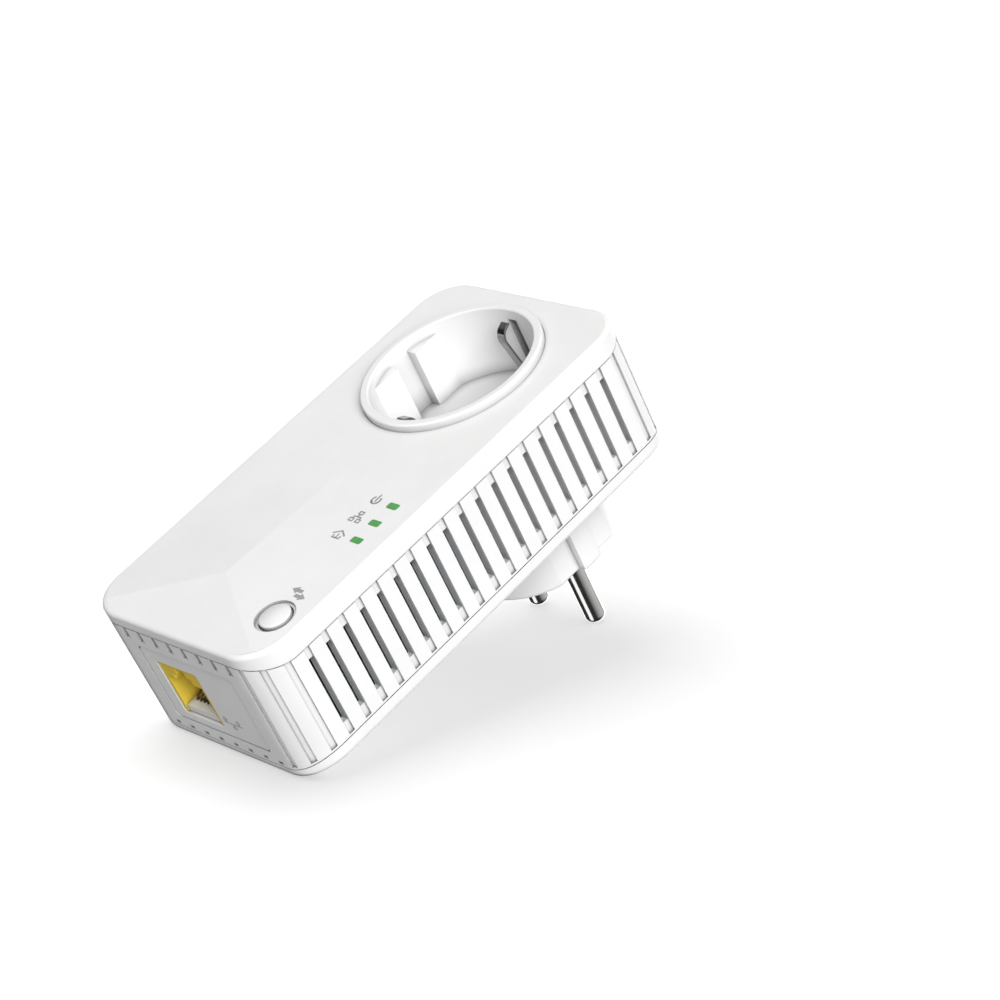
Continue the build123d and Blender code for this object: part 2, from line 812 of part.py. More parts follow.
# ---- socket well ----
with BuildPart() as socket_well:
    well_rear_depth = recess_floor_depth - floor_thickness
    with BuildSketch(depth_plane(well_rear_depth)):
        Circle(ring_outer_r)
        Circle(recess_r, mode=Mode.SUBTRACT)
    extrude(amount=ring_top_depth - well_rear_depth)
    ring_rims = socket_well.faces().sort_by(Axis.Y)[0].edges()
    fillet(ring_rims.sort_by(SortBy.LENGTH)[-1], ring_fillet)
    inner_rim = socket_well.faces().sort_by(Axis.Y)[0].inner_wires()[0].edges()
    fillet(inner_rim, ring_inner_fillet)
    with BuildSketch(depth_plane(face_depth - face_thickness - well_flange_thickness)):
        Circle(well_flange_r)
        Circle(ring_outer_r - 0.5, mode=Mode.SUBTRACT)
    extrude(amount=well_flange_thickness)
    # flat-faced guide blocks on both sides, split by the guide gap
    with BuildSketch(depth_plane(recess_floor_depth)):
        Circle(recess_r + guide_overlap)
        Rectangle(2 * guide_face_x, 2 * ring_outer_r, mode=Mode.SUBTRACT)
        Rectangle(2 * ring_outer_r, guide_gap, mode=Mode.SUBTRACT)
    extrude(amount=guide_front_depth - recess_floor_depth)
    # earth slots in the wall
    with BuildSketch(depth_plane(well_rear_depth)):
        Rectangle(earth_slot_width, 2 * earth_slot_wall_z)
    extrude(amount=earth_slot_front_depth - well_rear_depth, mode=Mode.SUBTRACT)
socket_well.part.label = "socket_well"
export_step(socket_well.part, "parts/socket_well.step")

# ---- socket floor ----
with BuildPart() as socket_floor:
    with BuildSketch(depth_plane(recess_floor_depth - floor_thickness)):
        Circle(floor_r)
        with Locations((-pin_offset, 0), (pin_offset, 0)):
            Circle(pin_hole_r, mode=Mode.SUBTRACT)
        for side in (-1, 1):
            with Locations((0, side * (earth_slot_inner_z + floor_r + 2) / 2)):
                Rectangle(
                    earth_slot_width, floor_r + 2 - earth_slot_inner_z, mode=Mode.SUBTRACT
                )
    extrude(amount=floor_thickness)
    mouth_edges = [
        edge
        for edge in socket_floor.faces().sort_by(Axis.Y)[0].edges().filter_by(GeomType.CIRCLE)
        if abs(edge.radius - pin_hole_r) < fit_gap
    ]
    chamfer(mouth_edges, pin_hole_chamfer)
socket_floor.part.label = "socket_floor"
export_step(socket_floor.part, "parts/socket_floor.step")

# ---- contact carrier behind the floor ----
with BuildPart() as contact_carrier:
    carrier_rear_depth = cavity_rear_depth - carrier_plate
    cavity_front = recess_floor_depth - floor_thickness
    with BuildSketch(depth_plane(carrier_rear_depth)):
        Circle(ring_outer_r)
        with Locations((-pin_offset, 0), (pin_offset, 0)):
            Circle(contact_r + fit_gap, mode=Mode.SUBTRACT)
    extrude(amount=carrier_plate)
    with BuildSketch(depth_plane(cavity_rear_depth)):
        Circle(ring_outer_r)
        Circle(recess_r, mode=Mode.SUBTRACT)
    extrude(amount=cavity_front - cavity_rear_depth)
    # passages for the earth clips
    carrier_slot_span = carrier_slot_outer_z - carrier_slot_inner_z
    with BuildSketch(depth_plane(carrier_rear_depth)):
        with GridLocations(1, carrier_slot_outer_z + carrier_slot_inner_z, 1, 2):
            Rectangle(carrier_slot_width, carrier_slot_span)
    extrude(amount=cavity_front - carrier_rear_depth, mode=Mode.SUBTRACT)
    # pivot post of the shutter
    with BuildSketch(depth_plane(cavity_rear_depth)):
        Circle(pivot_r)
    extrude(amount=cavity_front - cavity_rear_depth)
    # stop pegs for the shutter and the low anchor peg of its spring
    with BuildSketch(depth_plane(cavity_rear_depth)):
        with Locations(*stop_pegs):
            Circle(stop_peg_r)
    extrude(amount=stop_peg_height)
    with BuildSketch(depth_plane(cavity_rear_depth)):
        with Locations((0, -spring_peg_offset)):
            Circle(spring_peg_r)
    extrude(amount=spring_peg_height)
    # feet that stand on the plug's flange
    with BuildSketch(depth_plane(plug_flange_depth + fit_gap / 2)):
        with GridLocations(foot_spacing, foot_spacing, 2, 2):
            Circle(foot_r)
    extrude(amount=carrier_rear_depth - plug_flange_depth)
contact_carrier.part.label = "contact_carrier"
export_step(contact_carrier.part, "parts/contact_carrier.step")

# ---- shutter ----
with BuildPart() as shutter_rotor:
    edge_z = 2 * wing_r
    edge_x = edge_z / tan(radians(wing_half_angle))
    with BuildSketch(depth_plane(shutter_rear_depth)):
        Circle(wing_r)
        Polygon((0, 0), (edge_x, edge_z), (-edge_x, edge_z), align=None, mode=Mode.SUBTRACT)
        Polygon((0, 0), (-edge_x, -edge_z), (edge_x, -edge_z), align=None, mode=Mode.SUBTRACT)
        Circle(shutter_hub_r)
        Circle(shutter_bore_r, mode=Mode.SUBTRACT)
    extrude(amount=shutter_front_depth - shutter_rear_depth)
    # the ramp on each wing turns the push of a pin into rotation
    for side in (-1, 1):
        with BuildSketch(Plane.YZ.offset(side * (shutter_hub_r + wing_margin))):
            Polygon(
                (-shutter_front_depth - fit_gap, side * ramp_crest),
                (-shutter_front_depth - fit_gap, -side * ramp_edge_z),
                (-ramp_low_depth, -side * ramp_edge_z),
                (-ramp_low_depth, -side * ramp_low_z),
                align=None,
            )
        extrude(amount=side * wing_r, mode=Mode.SUBTRACT)
    # spring peg
    with BuildSketch(depth_plane(shutter_rear_depth - spring_peg_height)):
        with Locations((spring_peg_offset, 0)):
            Circle(spring_peg_r)
    extrude(amount=spring_peg_height + fit_gap)
shutter_rotor.part.label = "shutter_rotor"
export_step(shutter_rotor.part, "parts/shutter_rotor.step")

# ---- shutter return spring: a coil round the pivot with a leg to each peg ----
with BuildPart() as shutter_spring:
    with BuildLine() as coil_path:
        Helix(
            pitch=spring_pitch, height=spring_pitch, radius=spring_coil_r,
            center=(0, -cavity_rear_depth - 0.35, 0), direction=(0, -1, 0),
        )
    coil = coil_path.wires()[0]
    with BuildSketch(Plane(coil @ 0, z_dir=coil % 0)):
        Circle(spring_wire_r)
    sweep(path=coil, is_frenet=True)
    leg_offset = spring_peg_r + spring_wire_r + 0.01
    coil_start = coil @ 0
    coil_end = coil @ 1
    for tip, peg in (
        (coil_start, Vector(leg_offset, coil_start.Y, -spring_peg_offset)),
        (coil_end, Vector(spring_peg_offset, coil_end.Y, -leg_offset)),
    ):
        with BuildLine() as leg_path:
            Line(tip, peg)
        with BuildSketch(Plane(tip, z_dir=peg - tip)):
            Circle(spring_wire_r)
        sweep(path=leg_path.line)
shutter_spring.part.label = "shutter_spring"
export_step(shutter_spring.part, "parts/shutter_spring.step")

# ---- plug body ----
with BuildPart() as plug_body:
    with BuildSketch(depth_plane(-plug_face_y)):
        # flats on both sides, each with a rib that runs in the gap of a socket's guides
        Rectangle(2 * plug_flat_x, 2 * plug_r)
        Rectangle(2 * plug_r, plug_rib_width)
        Circle(plug_r, mode=Mode.INTERSECT)
    extrude(amount=plug_face_y - plug_root_y)
    fillet(plug_body.faces().sort_by(Axis.Y)[-1].edges(), plug_edge_fillet)
    with BuildSketch(depth_plane(-plug_root_y)):
        Circle(plug_r)
    extrude(amount=plug_root_y + rear_thickness + fit_gap)
    with BuildSketch(depth_plane(rear_thickness + fit_gap / 2)):
        Circle(plug_flange_r)
    extrude(amount=plug_flange_depth - rear_thickness - fit_gap / 2)
    # pockets and through slots for the earth contacts
    with BuildSketch(depth_plane(-plug_face_y + earth_pocket_wall)):
        with GridLocations(1, 2 * earth_pocket_mid_z, 1, 2):
            Rectangle(earth_pocket_width, earth_pocket_height)
    extrude(amount=plug_face_y - earth_pocket_wall - plug_root_y, mode=Mode.SUBTRACT)
    with BuildSketch(depth_plane(-plug_root_y - cut_overlap)):
        with GridLocations(1, 2 * earth_strip_root_z, 1, 2):
            Rectangle(*earth_strip_slot)
    extrude(amount=far, mode=Mode.SUBTRACT)
    # hollow with a boss round each pin
    with BuildSketch(depth_plane(plug_flange_depth)):
        Circle(plug_hollow_r)
        with Locations((-pin_offset, 0), (pin_offset, 0)):
            Circle(boss_r, mode=Mode.SUBTRACT)
    extrude(amount=-(plug_flange_depth + plug_face_y - plug_wall), mode=Mode.SUBTRACT)
    with BuildSketch(depth_plane(plug_flange_depth)):
        with Locations((-pin_offset, 0), (pin_offset, 0)):
            Circle(contact_r + fit_gap)
    extrude(amount=-(plug_flange_depth + contact_rear_y + fit_gap / 2), mode=Mode.SUBTRACT)
    with BuildSketch(depth_plane(0)):
        with Locations((-pin_offset, 0), (pin_offset, 0)):
            Circle(plug_shank_r + pin_bore_gap)
    extrude(amount=-far - plug_face_y, mode=Mode.SUBTRACT)
plug_body.part.label = "plug_body"
export_step(plug_body.part, "parts/plug_body.step")

# ---- plug pins and the socket contacts in line with them ----
for side, name in ((-1, "left"), (1, "right")):
    with BuildPart() as plug_pin:
        with BuildSketch(depth_plane(-plug_face_y)):
            with Locations((side * pin_offset, 0)):
                Circle(plug_pin_r)
        extrude(amount=-(plug_pin_tip_y - plug_face_y))
        fillet(plug_pin.faces().sort_by(Axis.Y)[-1].edges(), pin_tip_fillet)
        with BuildSketch(depth_plane(-plug_pin_root_y - fit_gap / 2)):
            with Locations((side * pin_offset, 0)):
                Circle(plug_shank_r)
        extrude(amount=-(plug_face_y - plug_pin_root_y - fit_gap / 2))
    plug_pin.part.label = f"plug_pin_{name}"
    export_step(plug_pin.part, f"parts/plug_pin_{name}.step")

    with BuildPart() as socket_contact:
        with BuildSketch(depth_plane(-contact_rear_y)):
            with Locations((side * pin_offset, 0)):
                Circle(contact_r)
        extrude(amount=contact_rear_y + contact_front_depth)
        with BuildSketch(depth_plane(-contact_floor_y)):
            with Locations((side * pin_offset, 0)):
                Circle(contact_bore_r)
        extrude(amount=contact_floor_y + contact_front_depth, mode=Mode.SUBTRACT)
        # crossed slits that let the sleeve grip a pin
        with BuildSketch(depth_plane(-contact_slit_y)):
            with Locations((side * pin_offset, 0)):
                Rectangle(3 * contact_r, contact_slit_width)
                Rectangle(contact_slit_width, 3 * contact_r)
        extrude(amount=contact_slit_y + contact_front_depth, mode=Mode.SUBTRACT)
        # solder lug
        with BuildSketch(depth_plane(lug_depth)):
            with Locations((side * (pin_offset + lug_offset), lug_mid_z)):
                Rectangle(1.2, 3.6)
        extrude(amount=0.8)
    socket_contact.part.label = f"socket_contact_{name}"
    export_step(socket_contact.part, f"parts/socket_contact_{name}.step")

# ---- earth path: plug strips, bridge and sprung socket clips ----
for side, name in ((1, "upper"), (-1, "lower")):
    with BuildPart() as plug_earth:
        with BuildLine(Plane.YZ) as strip_path:
            Polyline(
                (-earth_strip_root_depth, side * earth_strip_root_z),
                (2.0, side * earth_strip_root_z),
                (8.0, side * 17.3),
                (15.5, side * 17.3),
                (18.2, side * 16.2),
            )
        strip_root = (0, -earth_strip_root_depth, side * earth_strip_root_z)
        with BuildSketch(Plane(strip_root, x_dir=(1, 0, 0), z_dir=(0, 1, 0))):
            Rectangle(earth_strip_width, earth_strip_thickness)
        sweep(path=strip_path.line, transition=Transition.RIGHT)
    plug_earth.part.label = f"plug_earth_{name}"
    export_step(plug_earth.part, f"parts/plug_earth_{name}.step")

    with BuildPart() as earth_clip:
        with BuildSketch(Plane.YZ.offset(-clip_width / 2)):
            with BuildLine():
                # leans in from its root to a crown, then curls back to a free tip
                FilletPolyline(
                    (-clip_root_depth, side * clip_root_z),
                    (-clip_bend_depth, side * clip_root_z),
                    (-28.9, side * 14.7),
                    (-30.7, side * 15.4),
                    (-31.6, side * 17.3),
                    radius=clip_bend_r,
                )
                offset(amount=clip_thickness / 2, side=Side.BOTH)
            make_face()
        extrude(amount=clip_width)
    earth_clip.part.label = f"earth_clip_{name}"
    export_step(earth_clip.part, f"parts/earth_clip_{name}.step")

with BuildPart() as earth_bridge:
    with BuildSketch(depth_plane(bridge_rear_depth)):
        Rectangle(bridge_width, bridge_length)
        with GridLocations(1, bridge_length - 3.8, 1, 2):
            Rectangle(5.0, 3.8)
        Circle(1.0, mode=Mode.SUBTRACT)
    extrude(amount=bridge_thickness)
earth_bridge.part.label = "earth_bridge"
export_step(earth_bridge.part, "parts/earth_bridge.step")

# ---- main board ----
with BuildPart() as main_board:
    with BuildSketch(depth_plane(board_rear_depth)):
        with Locations((0, (board_top_z + board_bottom_z) / 2)):
            Rectangle(2 * board_half_width, board_top_z - board_bottom_z)
        # notches that clear the lower screw bosses
        with Locations((0, board_bottom_z)):
            with GridLocations(2 * board_half_width, 1, 2, 1):
                Rectangle(board_notch_width, board_notch_height, mode=Mode.SUBTRACT)
        with Locations(*board_screw_spots):
            Circle(1.2, mode=Mode.SUBTRACT)
    extrude(amount=board_thickness)
main_board.part.label = "main_board"
export_step(main_board.part, "parts/main_board.step")

# ---- power supply parts ----
with BuildPart() as transformer_core:
    core_width, core_depth, core_height = core_size
    with BuildSketch(Plane.XY.offset(core_z - core_height / 2)):
        with Locations((core_x, -(core_rear_depth + core_depth / 2))):
            Rectangle(core_width, core_depth)
            with GridLocations(core_width / 2, 1, 2, 1):
                Rectangle(core_leg, core_depth - core_leg, mode=Mode.SUBTRACT)
    extrude(amount=core_height)
transformer_core.part.label = "transformer_core"
export_step(transformer_core.part, "parts/transformer_core.step")

with BuildPart() as transformer_coil:
    with BuildSketch(depth_plane(coil_rear_depth)):
        with Locations((core_x, core_z)):
            RectangleRounded(coil_width, coil_width + 0.8, coil_corner_r)
            Rectangle(core_leg + 2 * fit_gap, core_height + 2 * fit_gap, mode=Mode.SUBTRACT)
    extrude(amount=coil_length)
    # feet on the board
    with BuildSketch(depth_plane(board_front_depth)):
        with Locations((core_x, core_z)):
            with GridLocations(7.6, 11.0, 2, 2):
                Rectangle(2.4, 1.4)
    extrude(amount=coil_rear_depth - board_front_depth + reveal_gap)
transformer_coil.part.label = "transformer_coil"
export_step(transformer_coil.part, "parts/transformer_coil.step")

with BuildPart() as bulk_capacitors:
    with BuildSketch(depth_plane(board_front_depth)):
        with Locations(*bulk_capacitor_spots):
            Circle(bulk_capacitor_r)
    extrude(amount=bulk_capacitor_height)
    fillet(bulk_capacitors.edges().filter_by(GeomType.CIRCLE), 0.6)
bulk_capacitors.part.label = "bulk_capacitors"
export_step(bulk_capacitors.part, "parts/bulk_capacitors.step")

with BuildPart() as small_capacitors:
    with BuildSketch(depth_plane(board_front_depth)):
        with Locations(*small_capacitor_spots):
            Circle(small_capacitor_r)
    extrude(amount=small_capacitor_height)
    fillet(small_capacitors.edges().filter_by(GeomType.CIRCLE), 0.35)
small_capacitors.part.label = "small_capacitors"
export_step(small_capacitors.part, "parts/small_capacitors.step")

with BuildPart() as x_capacitor:
    with BuildSketch(depth_plane(board_front_depth)):
        with Locations(x_capacitor_spot):
            RectangleRounded(6.0, 13.0, 0.6)
    extrude(amount=x_capacitor_height)
    fillet(x_capacitor.faces().sort_by(Axis.Y)[0].edges(), 0.5)
x_capacitor.part.label = "x_capacitor"
export_step(x_capacitor.part, "parts/x_capacitor.step")

with BuildPart() as y_capacitors:
    for z in y_capacitor_zs:
        with BuildSketch(Plane.XY.offset(z - y_capacitor_thickness / 2)):
            with Locations((y_capacitor_x, -(board_front_depth + y_capacitor_r + 1.1))):
                Circle(y_capacitor_r)
            # its two legs
            with Locations((y_capacitor_x, -(board_front_depth + 1.0))):
                with GridLocations(3.6, 1, 2, 1):
                    Rectangle(0.6, 2.0)
        extrude(amount=y_capacitor_thickness)
y_capacitors.part.label = "y_capacitors"
export_step(y_capacitors.part, "parts/y_capacitors.step")

with BuildPart() as varistor:
    with BuildSketch(Plane.YZ.offset(varistor_x)):
        with Locations((-(board_front_depth + varistor_r + 1.6), varistor_z)):
            Circle(varistor_r)
        # its two legs
        with Locations((-(board_front_depth + 1.3), varistor_z)):
            with GridLocations(1, 5.0, 1, 2):
                Rectangle(2.6, 0.7)
    extrude(amount=varistor_thickness)
varistor.part.label = "varistor"
export_step(varistor.part, "parts/varistor.step")

with BuildPart() as fuse:
    with BuildSketch(depth_plane(board_front_depth)):
        with Locations(fuse_spot):
            RectangleRounded(8.4, 4.0, 0.5)
    extrude(amount=fuse_height)
    fillet(fuse.faces().sort_by(Axis.Y)[0].edges(), 0.5)
fuse.part.label = "fuse"
export_step(fuse.part, "parts/fuse.step")

with BuildPart() as line_choke:
    with BuildSketch(Plane.XY.offset(choke_z)):
        with Locations((choke_x, -(board_front_depth + choke_r))):
            Circle(choke_r)
            Circle(choke_bore_r, mode=Mode.SUBTRACT)
    extrude(amount=choke_thickness)
line_choke.part.label = "line_choke"
export_step(line_choke.part, "parts/line_choke.step")

# ---- signal parts ----
with BuildPart() as coupling_transformer:
    with BuildSketch(depth_plane(board_front_depth)):
        with Locations(coupler_spot):
            RectangleRounded(coupler_width, coupler_width, 0.6)
    extrude(amount=coupler_base)
    with BuildSketch(depth_plane(board_front_depth + coupler_base - fit_gap)):
        with Locations(coupler_spot):
            Circle(coupler_core_r)
            Circle(coupler_bore_r, mode=Mode.SUBTRACT)
    extrude(amount=coupler_core_r + 0.6)
coupling_transformer.part.label = "coupling_transformer"
export_step(coupling_transformer.part, "parts/coupling_transformer.step")

with BuildPart() as modem_chip:
    with BuildSketch(depth_plane(board_front_depth)):
        with Locations(modem_spot):
            Rectangle(modem_width, modem_width)
    extrude(amount=modem_height)
modem_chip.part.label = "modem_chip"
export_step(modem_chip.part, "parts/modem_chip.step")

with BuildPart() as heatsink:
    heatsink_rear_depth = board_front_depth + modem_height + fit_gap / 2
    with BuildSketch(depth_plane(heatsink_rear_depth)):
        with Locations(modem_spot):
            Rectangle(heatsink_width, heatsink_width)
    extrude(amount=heatsink_base)
    with BuildSketch(depth_plane(heatsink_rear_depth + heatsink_base - fit_gap)):
        with Locations(modem_spot):
            with GridLocations(fin_pitch, 1, fin_count, 1):
                Rectangle(fin_thickness, heatsink_width)
    extrude(amount=fin_height)
heatsink.part.label = "heatsink"
export_step(heatsink.part, "parts/heatsink.step")

with BuildPart() as memory_chip:
    with BuildSketch(depth_plane(board_front_depth)):
        with Locations(memory_spot):
            Rectangle(6.0, 8.0)
    extrude(amount=1.0)
memory_chip.part.label = "memory_chip"
export_step(memory_chip.part, "parts/memory_chip.step")

with BuildPart() as crystal:
    with BuildSketch(depth_plane(board_front_depth)):
        with Locations(crystal_spot):
            SlotOverall(7.0, 3.4)
    extrude(amount=2.6)
    fillet(crystal.faces().sort_by(Axis.Y)[0].edges(), 0.4)
crystal.part.label = "crystal"
export_step(crystal.part, "parts/crystal.step")

with BuildPart() as lan_magnetics:
    with BuildSketch(depth_plane(board_front_depth)):
        with Locations(magnetics_spot):
            Rectangle(9.2, 12.4)
    extrude(amount=4.6)
    chamfer(lan_magnetics.faces().sort_by(Axis.Y)[0].edges(), 0.3)
lan_magnetics.part.label = "lan_magnetics"
export_step(lan_magnetics.part, "parts/lan_magnetics.step")

with BuildPart() as board_header:
    header_length = 4.0
    header_pin_rear = board_front_depth + header_length - fit_gap
    with BuildSketch(depth_plane(board_front_depth)):
        with Locations(header_mid):
            Rectangle(6.0, 2.4)
    extrude(amount=header_length)
    with BuildSketch(depth_plane(header_pin_rear)):
        with Locations(*header_spots):
            Rectangle(0.5, 0.5)
    extrude(amount=front_board_front + 0.6 - header_pin_rear)
board_header.part.label = "board_header"
export_step(board_header.part, "parts/board_header.step")

# ---- wires from the contacts and the earth bridge to the main board ----
for side, name in ((-1, "left"), (1, "right")):
    with BuildPart() as line_wire:
        wire_start = (side * (pin_offset + lug_offset), -lug_depth - 0.4, -6.35)
        with BuildLine() as wire_path:
            Spline(
                wire_start,
                (side * 10.2, -6.6, -15.0),
                (side * 10.0, -8.0, -22.0),
                (side * 10.4, -board_front_depth, -27.2),
                tangents=[(0, 0, -1), (0, 1, 0)],
            )
        with BuildSketch(Plane(wire_start, z_dir=(0, 0, -1))):
            Circle(0.75)
        sweep(path=wire_path.line)
    line_wire.part.label = f"line_wire_{name}"
    export_step(line_wire.part, f"parts/line_wire_{name}.step")

with BuildPart() as earth_wire:
    earth_start = (0, -5.95, -19.55)
    with BuildLine() as earth_path:
        Spline(
            earth_start,
            (0.4, -7.6, -23.6),
            (0.8, -board_front_depth, -27.6),
            tangents=[(0, 0, -1), (0, 1, 0)],
        )
    with BuildSketch(Plane(earth_start, z_dir=(0, 0, -1))):
        Circle(0.6)
    sweep(path=earth_path.line)
earth_wire.part.label = "earth_wire"
export_step(earth_wire.part, "parts/earth_wire.step")

# ---- screws ----
with BuildPart() as housing_screws:
    head_top_depth = screw_seat_depth - fit_gap / 2 - screw_head_height
    with BuildSketch(depth_plane(head_top_depth)):
        with Locations(*screw_spots):
            Circle(screw_head_r)
    extrude(amount=screw_head_height)
    with BuildSketch(depth_plane(screw_seat_depth - fit_gap)):
        with Locations(*screw_spots):
            Circle(screw_r - fit_gap / 2)
    extrude(amount=screw_length)
    with BuildSketch(depth_plane(head_top_depth)):
        with Locations(*screw_spots):
            RegularPolygon(1.3, 6)
    extrude(amount=0.8, mode=Mode.SUBTRACT)
housing_screws.part.label = "housing_screws"
export_step(housing_screws.part, "parts/housing_screws.step")

with BuildPart() as board_screws:
    with BuildSketch(depth_plane(board_front_depth)):
        with Locations(*board_screw_spots):
            Circle(board_screw_head_r)
    extrude(amount=board_screw_head_height)
    with BuildSketch(depth_plane(board_screw_tip_depth)):
        with Locations(*board_screw_spots):
            Circle(board_post_core_r - fit_gap / 2)
    extrude(amount=board_front_depth + fit_gap - board_screw_tip_depth)
    # cross recess in the head
    with BuildSketch(depth_plane(board_front_depth + board_screw_head_height / 2)):
        with Locations(*board_screw_spots):
            Rectangle(2.2, 0.5)
            Rectangle(0.5, 2.2)
    extrude(amount=board_screw_head_height, mode=Mode.SUBTRACT)
board_screws.part.label = "board_screws"
export_step(board_screws.part, "parts/board_screws.step")

with BuildPart() as front_board_screws:
    with BuildSketch(depth_plane(front_board_depth)):
        with Locations(*front_posts):
            Circle(front_screw_head_r)
    extrude(amount=-front_screw_head_height)
    with BuildSketch(depth_plane(front_board_depth - fit_gap)):
        with Locations(*front_posts):
            Circle(post_core_r - fit_gap / 2)
    extrude(amount=front_screw_length)
front_board_screws.part.label = "front_board_screws"
export_step(front_board_screws.part, "parts/front_board_screws.step")
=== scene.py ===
import json
import math

import bpy
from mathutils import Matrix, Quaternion, Vector
from mathutils.bvhtree import BVHTree


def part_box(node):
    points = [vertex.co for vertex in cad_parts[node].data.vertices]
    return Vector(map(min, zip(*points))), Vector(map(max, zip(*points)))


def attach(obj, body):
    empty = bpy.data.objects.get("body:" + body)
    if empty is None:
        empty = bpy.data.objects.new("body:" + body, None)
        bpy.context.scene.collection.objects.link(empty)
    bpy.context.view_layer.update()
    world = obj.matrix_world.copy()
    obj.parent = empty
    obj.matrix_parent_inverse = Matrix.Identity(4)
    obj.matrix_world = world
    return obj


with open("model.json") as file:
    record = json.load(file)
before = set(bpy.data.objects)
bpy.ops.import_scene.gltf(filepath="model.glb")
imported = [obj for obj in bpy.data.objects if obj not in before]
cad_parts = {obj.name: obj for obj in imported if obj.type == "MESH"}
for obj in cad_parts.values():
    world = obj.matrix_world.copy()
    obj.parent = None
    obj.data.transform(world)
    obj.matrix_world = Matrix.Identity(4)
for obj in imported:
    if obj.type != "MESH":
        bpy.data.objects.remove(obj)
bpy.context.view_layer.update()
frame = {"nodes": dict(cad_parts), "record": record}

MM = 0.001


# ---------------------------------------------------------------- node helpers
class Shader:
    """A material under construction, with the few node patterns the pieces share."""

    def __init__(self, name):
        self.mat = bpy.data.materials.new(name)
        self.mat.use_nodes = True
        self.nodes = self.mat.node_tree.nodes
        self.links = self.mat.node_tree.links
        self.bsdf = self.nodes["Principled BSDF"]
        coords = self.nodes.new("ShaderNodeTexCoord")
        scale = self.nodes.new("ShaderNodeVectorMath")
        scale.operation = "SCALE"
        scale.inputs["Scale"].default_value = 1 / MM
        self.link(coords.outputs["Object"], scale.inputs[0])
        self.mm = scale.outputs[0]

    def link(self, a, b):
        self.links.new(a, b)

    def stretch(self, x=1.0, y=1.0, z=1.0):
        """The millimetre coordinates, stretched along an axis for brushed or drawn surfaces."""
        n = self.nodes.new("ShaderNodeVectorMath")
        n.operation = "MULTIPLY"
        n.inputs[1].default_value = (x, y, z)
        self.link(self.mm, n.inputs[0])
        return n.outputs[0]

    def noise(self, scale, detail=3.0, rough=0.55, vector=None):
        n = self.nodes.new("ShaderNodeTexNoise")
        n.inputs["Scale"].default_value = scale
        n.inputs["Detail"].default_value = detail
        n.inputs["Roughness"].default_value = rough
        self.link(vector or self.mm, n.inputs["Vector"])
        return n.outputs["Fac"]

    def remap(self, value, low, high, start=0.35, end=0.65):
        n = self.nodes.new("ShaderNodeMapRange")
        n.inputs["From Min"].default_value = start
        n.inputs["From Max"].default_value = end
        n.inputs["To Min"].default_value = low
        n.inputs["To Max"].default_value = high
        self.link(value, n.inputs["Value"])
        return n.outputs["Result"]

    def mix(self, factor, a, b):
        n = self.nodes.new("ShaderNodeMix")
        n.data_type = "RGBA"
        self.link(factor, n.inputs["Factor"])
        for socket, value in (("A", a), ("B", b)):
            target = [i for i in n.inputs if i.name == socket and i.type == "RGBA"][0]
            if isinstance(value, (tuple, list)):
                target.default_value = (*value, 1)
            else:
                self.link(value, target)
        return [o for o in n.outputs if o.type == "RGBA"][0]

    def math(self, operation, a, b=0.0):
        n = self.nodes.new("ShaderNodeMath")
        n.operation = operation
        for socket, value in ((0, a), (1, b)):
            if isinstance(value, (int, float)):
                n.inputs[socket].default_value = value
            else:
                self.link(value, n.inputs[socket])
        return n.outputs[0]

    def axis(self, name):
        n = self.nodes.new("ShaderNodeSeparateXYZ")
        self.link(self.mm, n.inputs[0])
        return n.outputs[name]

    def bump(self, height, depth_mm, normal=None):
        n = self.nodes.new("ShaderNodeBump")
        n.inputs["Distance"].default_value = depth_mm * MM
        n.inputs["Strength"].default_value = 1.0
        self.link(height, n.inputs["Height"])
        if normal:
            self.link(normal, n.inputs["Normal"])
        return n.outputs["Normal"]

    def soft_edges(self, radius_mm):
        n = self.nodes.new("ShaderNodeBevel")
        n.samples = 4
        n.inputs["Radius"].default_value = radius_mm * MM
        return n.outputs["Normal"]

    def painted_crease_shade(self, reach_mm, darkest):
        """Painted shade: how open the surface is, 1 in the open, down to darkest in gaps and inside corners."""
        n = self.nodes.new("ShaderNodeAmbientOcclusion")
        n.samples = 8
        n.inputs["Distance"].default_value = reach_mm * MM
        return self.remap(n.outputs["AO"], darkest, 1.0, 0.25, 0.80)

    def set(self, **values):
        for name, value in values.items():
            socket = self.bsdf.inputs[name.replace("_", " ")]
            if isinstance(value, (int, float)):
                socket.default_value = value
            elif isinstance(value, (tuple, list)):
                socket.default_value = (*value, 1) if len(value) == 3 else value
            else:
                self.link(value, socket)
        return self


def tone(color, factor):
    return tuple(min(1.0, c * factor) for c in color)


def plastic(
    name, color, rough=0.42, grain=0.006, grain_scale=3.2, edge=0.12, sheen=0.0, sub=0.0, reach=2.2
):
    """Moulded plastic: spark-eroded grain, slow mottle, softened edges, and painted shade that darkens gaps and
    inside corners.
    """
    s = Shader(name)
    mottle = s.noise(0.09, 4.0)
    fine = s.noise(grain_scale, 4.0, 0.6)
    unshaded = s.mix(s.remap(mottle, 0, 1), tone(color, 0.985), tone(color, 1.01))
    # painted shade: the colour darkens towards 0.28 of itself in gaps and inside corners
    color_out = s.mix(s.painted_crease_shade(reach, 0.0), tone(color, 0.28), unshaded)
    normal = s.bump(fine, grain, s.soft_edges(edge))
    s.set(Base_Color=color_out, Roughness=s.remap(mottle, rough - 0.03, rough + 0.03), Normal=normal)
    if sheen:
        s.bsdf.inputs["Coat Weight"].default_value = sheen
        s.bsdf.inputs["Coat Roughness"].default_value = 0.18
    if sub:
        s.bsdf.inputs["Subsurface Weight"].default_value = sub
        s.bsdf.inputs["Subsurface Scale"].default_value = 1.2 * MM
    return s.mat


